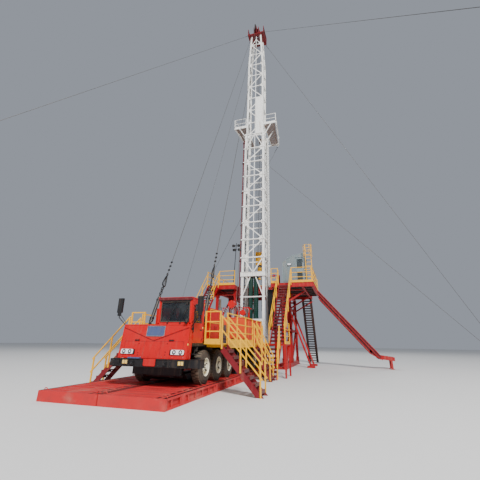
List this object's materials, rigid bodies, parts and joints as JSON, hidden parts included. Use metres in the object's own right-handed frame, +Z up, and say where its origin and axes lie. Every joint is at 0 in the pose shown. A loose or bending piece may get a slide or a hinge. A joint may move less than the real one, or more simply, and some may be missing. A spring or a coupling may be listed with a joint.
{
  "type": "oil drilling rig",
  "caption": "Carrier-mounted oil drilling rig: raised lattice mast with guy lines, drill floor on a red substructure, and a truck-like carrier on steel mats.",
  "frame": {"origin": "on the ground under the middle of the bounding box; the well centre is 7.6 m towards +Y from it", "axes": "+Z up; +Y along the carrier from its nose to the drill floor; +X towards the side with the driller's cabin and the pipe ramp"},
  "size_m": [36.9998, 36.1998, 37.218],
  "materials": {
    "red_paint": "satin",
    "yellow_paint": "satin",
    "white_paint": "satin",
    "dark_steel": "satin",
    "bare_steel": "satin",
    "tyre_rubber": "matte",
    "cream_rim": "satin",
    "glass": "gloss",
    "board_brown": "matte",
    "green_paint": "satin",
    "pipe_red": "satin",
    "cabin_grey": "satin",
    "mat_rust": "matte"
  },
  "bodies": {
    "rig": {"carrier_mats": "mat_rust", "carrier_frame": "dark_steel", "axles": "dark_steel", "tyres": "tyre_rubber", "wheel_rims": "cream_rim", "front_bumper": "dark_steel", "front_body": "red_paint", "cab": "red_paint", "headlamps": "bare_steel", "mirrors": "dark_steel", "side_cabinet": "red_paint", "engine_housing": "bare_steel", "drawworks_frame": "red_paint", "drawworks_drum": "bare_steel", "carrier_walkway": "yellow_paint", "walkway_rails": "yellow_paint", "side_stair": "red_paint", "side_stair_rails": "yellow_paint", "window_glass": "glass", "mast_base": "white_paint", "mast_lower_front": "white_paint", "mast_lower_left": "white_paint", "mast_lower_right": "white_paint", "mast_upper_front": "white_paint", "mast_upper_left": "white_paint", "mast_upper_right": "white_paint", "crown_frame": "red_paint", "crown_sheaves": "bare_steel", "racking_board": "board_brown", "racking_rails": "white_paint", "raising_rams": "green_paint", "standpipe": "pipe_red", "mast_ladder": "white_paint", "fast_line": "bare_steel", "substructure_left": "red_paint", "substructure_right": "red_paint", "floor_beams": "red_paint", "floor_deck": "dark_steel", "rotary_table": "red_paint", "floor_rails": "yellow_paint", "driller_cabin": "cabin_grey", "cabin_ladder": "yellow_paint", "main_stair": "red_paint", "main_stair_rails": "yellow_paint", "left_stair": "red_paint", "left_stair_rails": "yellow_paint", "pipe_ramp": "red_paint", "rear_stair": "dark_steel", "guy_front_left": "bare_steel", "guy_front_right": "bare_steel", "guy_rear_left": "bare_steel", "guy_rear_right": "bare_steel", "board_guy_left": "bare_steel", "board_guy_right": "bare_steel", "carrier_guys": "bare_steel"},
    "travelling_block_body": {"travelling_block": "yellow_paint", "drilling_lines": "bare_steel"},
    "cab_door_body": {"cab_door": "red_paint"},
    "cabin_door_body": {"cabin_door": "dark_steel"}
  },
  "joints": [
    {"name": "block_travel", "type": "slide", "parent": "rig", "child": "travelling_block_body", "axis": [0, 0, 1], "range_m": [-0.5, 23], "deforming": ["drilling_lines"]},
    {"name": "cab_door_hinge", "type": "hinge", "parent": "rig", "child": "cab_door_body", "pos_m": [1.342, -8.04, 2.4], "axis": [0, 0, -1], "range_deg": [0, 75]},
    {"name": "cabin_door_hinge", "type": "hinge", "parent": "rig", "child": "cabin_door_body", "pos_m": [3.83, 6.438, 7], "axis": [0, 0, 1], "range_deg": [0, 90]}
  ]
}
